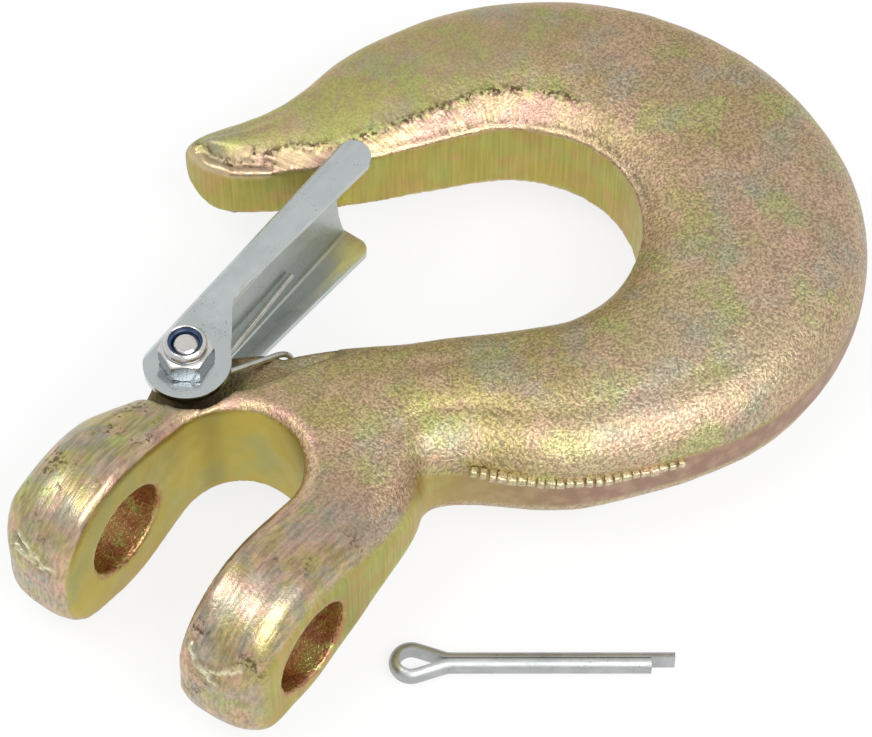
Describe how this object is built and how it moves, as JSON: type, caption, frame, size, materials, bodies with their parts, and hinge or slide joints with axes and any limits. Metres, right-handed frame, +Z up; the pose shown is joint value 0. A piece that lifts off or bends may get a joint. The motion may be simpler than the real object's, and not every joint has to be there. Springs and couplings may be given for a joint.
{
  "type": "clevis slip hook",
  "caption": "Forged steel clevis slip hook with a sprung sheet latch that closes the throat, and a loose split pin for the clevis pin.",
  "frame": {"origin": "middle of the clevis bore, at the middle plane of the hook", "axes": "+X from the clevis along the shank to the bowl, +Y along the clevis bore towards the tip side, +Z up out of the flat of the hook as it lies"},
  "size_m": [0.1353, 0.1053, 0.0302],
  "materials": {
    "forged_steel": "yellow zinc chromate over a forged skin, satin with pink and green tints",
    "latch_steel": "bright zinc, satin",
    "bolt_steel": "bright zinc, semi-gloss",
    "insert_nylon": "nylon, satin",
    "spring_steel": "zinc plated spring wire, satin",
    "pin_steel": "bright zinc, semi-gloss"
  },
  "bodies": {
    "hook": {"hook_body": "forged_steel", "latch_bolt": "bolt_steel", "latch_nut": "bolt_steel", "nut_insert": "insert_nylon", "latch_spring": "spring_steel"},
    "latch": {"latch": "latch_steel"},
    "split_pin": {"cotter_pin": "pin_steel"}
  },
  "joints": [
    {"name": "latch_hinge", "type": "hinge", "parent": "hook", "child": "latch", "pos_m": [0.022, 0.0157, 0], "axis": [0, 0, 1], "range_deg": [-42, 0], "stiffness_Nm_per_rad": 0.02, "springref_deg": 20.05, "deforming": ["latch_spring"]},
    {"name": "split_pin_lift", "type": "slide", "parent": "hook", "child": "split_pin", "axis": [0, 0, 1], "range_m": [0, 0.04]}
  ]
}
